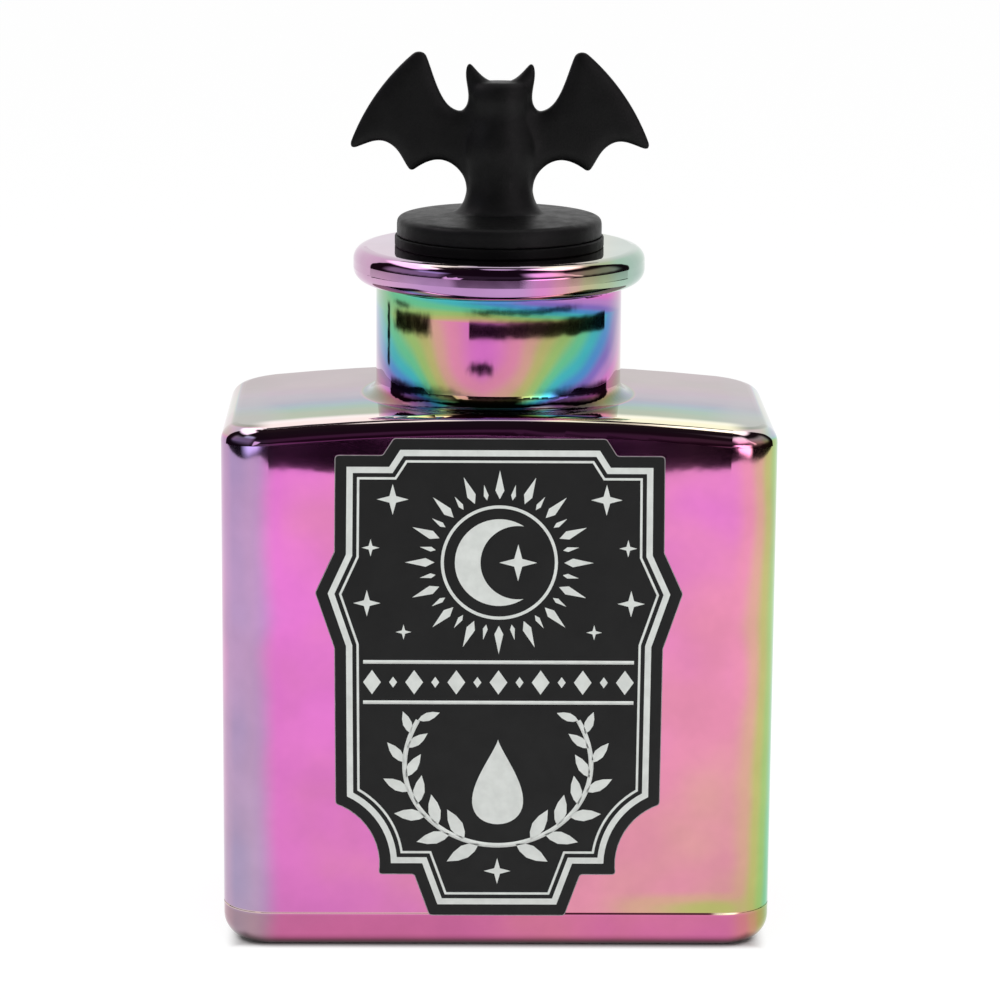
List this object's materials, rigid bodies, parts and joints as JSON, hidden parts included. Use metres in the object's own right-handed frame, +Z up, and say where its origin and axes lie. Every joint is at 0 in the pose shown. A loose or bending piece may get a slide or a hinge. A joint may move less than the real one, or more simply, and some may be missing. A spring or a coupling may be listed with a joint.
{
  "type": "poison bottle",
  "caption": "Flat rectangular iridescent glass poison bottle with a round lipped neck, a black die-cut front label and a bat-topped black stopper that lifts out and turns.",
  "frame": {"origin": "middle of the underside, on the surface that the bottle stands on", "axes": "+Z up along the neck, -Y towards the labelled front, +X to the right seen from the front"},
  "size_m": [0.107, 0.0602, 0.172],
  "materials": {
    "iridescent_glass": "electroplated, mirror-bright, colours run from violet through magenta and salmon to green and cyan",
    "label_film": "satin black film with white print",
    "topper_black": "matte, soft-touch black",
    "plug_black": "matte black",
    "seal_silicone": "smooth, milky",
    "zinc_steel": "zinc plated"
  },
  "bodies": {
    "bottle": {"glass_bottle": "iridescent_glass", "front_label": "label_film"},
    "seals": {"seal_ring_upper": "seal_silicone", "seal_ring_lower": "seal_silicone"},
    "stopper": {"bat_topper": "topper_black", "stopper_plug": "plug_black", "plug_washer": "zinc_steel", "plug_screw": "zinc_steel"}
  },
  "joints": [
    {"name": "stopper_lift", "type": "slide", "parent": "bottle", "child": "seals", "axis": [0, 0, 1], "range_m": [0, 0.06]},
    {"name": "stopper_turn", "type": "hinge", "parent": "seals", "child": "stopper", "pos_m": [0, 0, 0.1277], "axis": [0, 0, 1], "continuous": true}
  ]
}
